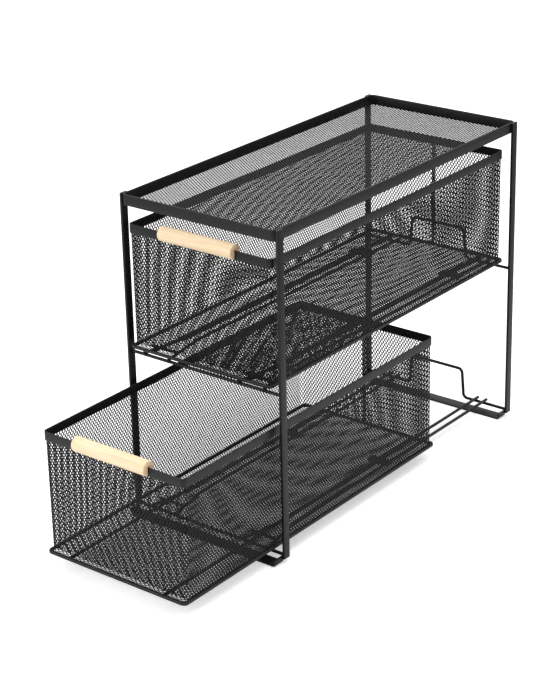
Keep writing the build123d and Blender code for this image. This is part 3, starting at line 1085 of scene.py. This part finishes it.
class ORGANIZER_OT_handles(bpy.types.Operator):
    """Make the two grooved wooden dowels"""

    bl_idname = "organizer.handles"
    bl_label = "Handles"

    def execute(self, context):
        parts = context.scene.organizer_drawer_parts
        for tier in TIERS:
            node = f"{tier}_drawer_handle"
            lowest, highest = low(node), high(node)
            radius = (highest.y - lowest.y) / 2
            centre = Vector((0, middle(node).y, highest.z - radius))
            dowel = in_scene("dowel", self.dowel(lowest.x, highest.x, radius, centre))
            groove = in_scene("groove", self.groove(highest.x, radius, centre))
            cut = dowel.modifiers.new("Groove", "BOOLEAN")
            cut.operation = "DIFFERENCE"
            cut.solver = "EXACT"
            cut.object = groove
            soften = dowel.modifiers.new("Soften", "BEVEL")
            soften.width = parts.groove_edge
            soften.segments = 2
            soften.limit_method = "ANGLE"
            soften.angle_limit = math.radians(45)
            mesh = evaluated_mesh(dowel)
            bpy.data.objects.remove(groove)
            self.close_slivers(mesh)
            smooth_by_angle(mesh, 35)
            place_piece(mesh, f"{node}_dowel", f"{tier}_drawer", "handle_wood", node)
        return {"FINISHED"}

    def dowel(self, start, end, radius, centre):
        """A round bar along X with rounded ends."""
        sides, end_steps = 64, 6
        soft = bpy.context.scene.organizer_drawer_parts.dowel_end_radius
        angles = [2 * math.pi * i / sides for i in range(sides)]
        stations = []
        for x, inset in softened_ends(start, end, soft, end_steps):
            r = radius - inset
            stations.append([(x, centre.y + r * math.cos(a), centre.z + r * math.sin(a)) for a in angles])
        return sweep_mesh(stations)

    def groove(self, half_length, radius, centre):
        """The cutter for the groove, open below and past the ends."""
        past_end = 0.002
        parts = bpy.context.scene.organizer_drawer_parts
        half_width, roof, foot = parts.groove_width / 2, parts.groove_roof, -2 * radius
        corners = ((-half_width, foot), (half_width, foot), (half_width, roof), (-half_width, roof))
        half_length += past_end
        stations = [[(x, centre.y + y, centre.z + z) for y, z in corners]
                    for x in (-half_length, half_length)]
        return sweep_mesh(stations)

    def close_slivers(self, mesh):
        """Takes out the faces without area that the cut and the bevel leave."""
        sliver = 2e-6
        bm = bmesh.new()
        bm.from_mesh(mesh)
        bmesh.ops.dissolve_degenerate(bm, edges=bm.edges[:], dist=sliver)
        bmesh.ops.remove_doubles(bm, verts=bm.verts[:], dist=sliver)
        bm.to_mesh(mesh)
        bm.free()


class ORGANIZER_OT_stage(bpy.types.Operator):
    """Make the floor, the lights and the camera"""

    bl_idname = "organizer.stage"
    bl_label = "Stage"

    def execute(self, context):
        self.floor(context.scene)
        self.world(context.scene)
        self.softbox("Top softbox", place=(0.2, 0.5, 1.9), target=(0, 0.19, 0.1), size=1.6, power=22)
        self.softbox("Front softbox", place=(-0.9, -1.9, 1.1), target=(0, 0.1, 0.16), size=1.3, power=22)
        self.camera(context.scene)
        context.scene.view_settings.view_transform = "Standard"
        return {"FINISHED"}

    def seen(self, tree):
        """1 where the camera looks, also through something clear, and 0 for light on the object."""
        rays = tree.nodes.new("ShaderNodeLightPath").outputs
        return Field(tree, rays["Is Camera Ray"]).most(Field(tree, rays["Is Transmission Ray"]))

    def floor(self, scene):
        """A pale floor that shows as white to the camera but keeps the shadow."""
        half = 8.0
        dim_from, dim_over, dim_by = 0.4, 0.8, 0.5
        white = 0.4
        mesh = bpy.data.meshes.new("Floor")
        mesh.from_pydata([(-half, -half, 0), (half, -half, 0), (half, half, 0), (-half, half, 0)], [],
                         [(0, 1, 2, 3)])
        floor = in_scene("Floor", mesh)
        paint = bpy.data.materials.new("Pale floor")
        paint.use_nodes = True
        tree = paint.node_tree
        tree.nodes.clear()
        seen = self.seen(tree)
        x, y, _ = split(tree, tree.nodes.new("ShaderNodeTexCoord").outputs["Object"])
        away = (x * x + y * y).math("SQRT")
        # Painted light: for the light that the floor throws back on the object, its colour darkens away
        # from the middle, a painted falloff of the top softbox's light together with the end of a studio's
        # paper floor; the camera still sees the full floor colour
        dim = 1.0 - ((away - dim_from) / dim_over).share() * dim_by
        shade = mixed(tree, dim.most(seen), (0, 0, 0, 1), (*scene.organizer_colours.floor, 1))
        lit = new_node(tree, "ShaderNodeBsdfDiffuse", {"Color": shade})
        glow = new_node(tree, "ShaderNodeEmission", {"Color": (1, 1, 1, 1), "Strength": seen * white})
        both = new_node(tree, "ShaderNodeAddShader", {0: lit.outputs[0], 1: glow.outputs[0]})
        new_node(tree, "ShaderNodeOutputMaterial", {"Surface": both.outputs[0]})
        mesh.materials.append(paint)

    def world(self, scene):
        """Soft light from all round, more of it from above and behind, and white behind the object."""
        dimmest, brighter_by = 0.5, 0.35
        backwards, upwards, all_round = 0.5, 0.6, 0.4
        world = bpy.data.worlds.new("Studio")
        scene.world = world
        world.use_nodes = True
        tree = world.node_tree
        background = tree.nodes["Background"]
        background.inputs["Color"].default_value = (1, 1, 1, 1)
        _, y, z = split(tree, tree.nodes.new("ShaderNodeTexCoord").outputs["Generated"])
        bright = (y * backwards + z * upwards + all_round).share()
        link(tree, self.seen(tree).most(bright * brighter_by + dimmest), background.inputs["Strength"])

    def softbox(self, name, place, target, size, power):
        """A square lamp that faces its target."""
        light = bpy.data.lights.new(name, "AREA")
        light.size = size
        light.energy = power
        lamp = in_scene(name, light)
        lamp.location = place
        lamp.rotation_euler = (Vector(target) - lamp.location).to_track_quat("-Z", "Y").to_euler()

    def camera(self, scene):
        """The photograph's view."""
        azimuth, elevation, roll = (math.radians(d) for d in (38.1744, 21.272, -1.2317))
        place = (1.053791, -1.219635, 0.882356)
        data = bpy.data.cameras.new("Camera")
        data.sensor_fit = "VERTICAL"
        data.sensor_height = 36.0
        data.lens = 100.732
        data.shift_y = -0.1
        data.clip_end = 100.0
        camera = in_scene("Camera", data)
        back = Vector((math.sin(azimuth) * math.cos(elevation), -math.cos(azimuth) * math.cos(elevation),
                       math.sin(elevation)))
        right = Vector((math.cos(azimuth), math.sin(azimuth), 0))
        up = back.cross(right)
        rolled_right = right * math.cos(roll) + up * math.sin(roll)
        rolled_up = up * math.cos(roll) - right * math.sin(roll)
        turn = Matrix((rolled_right, rolled_up, back)).transposed().to_4x4()
        camera.matrix_world = Matrix.Translation(place) @ turn
        scene.camera = camera


class ORGANIZER_PT_panel(bpy.types.Panel):
    """The organizer's sizes, colours and steps"""

    bl_idname = "ORGANIZER_PT_panel"
    bl_label = "Under Sink Organizer"
    bl_space_type = "VIEW_3D"
    bl_region_type = "UI"
    bl_category = "Organizer"

    def draw(self, context):
        for group in SETTINGS:
            box = self.layout.box()
            settings = getattr(context.scene, group)
            for name in settings.bl_rna.properties.keys():
                if name not in ("rna_type", "name"):
                    box.prop(settings, name)
        for operator in OPERATORS:
            self.layout.operator(operator.bl_idname)


SETTINGS = {
    "organizer_strips": OrganizerStrips,
    "organizer_wires": OrganizerWires,
    "organizer_net": OrganizerNet,
    "organizer_drawer_parts": OrganizerDrawerParts,
    "organizer_colours": OrganizerColours,
}

OPERATORS = (
    ORGANIZER_OT_stage,
    ORGANIZER_OT_feet,
    ORGANIZER_OT_legs,
    ORGANIZER_OT_rims,
    ORGANIZER_OT_wires,
    ORGANIZER_OT_welds,
    ORGANIZER_OT_nets,
    ORGANIZER_OT_glides,
    ORGANIZER_OT_handles,
)


def register():
    for name, group in SETTINGS.items():
        bpy.utils.register_class(group)
        setattr(bpy.types.Scene, name, bpy.props.PointerProperty(type=group))
    for made in (*OPERATORS, ORGANIZER_PT_panel):
        bpy.utils.register_class(made)


def unregister():
    for made in (*OPERATORS, ORGANIZER_PT_panel):
        bpy.utils.unregister_class(made)
    for name, group in SETTINGS.items():
        delattr(bpy.types.Scene, name)
        bpy.utils.unregister_class(group)


def main():
    register()
    for operator in OPERATORS:
        family, name = operator.bl_idname.split(".")
        getattr(getattr(bpy.ops, family), name)()


if __name__ == "__main__":
    main()
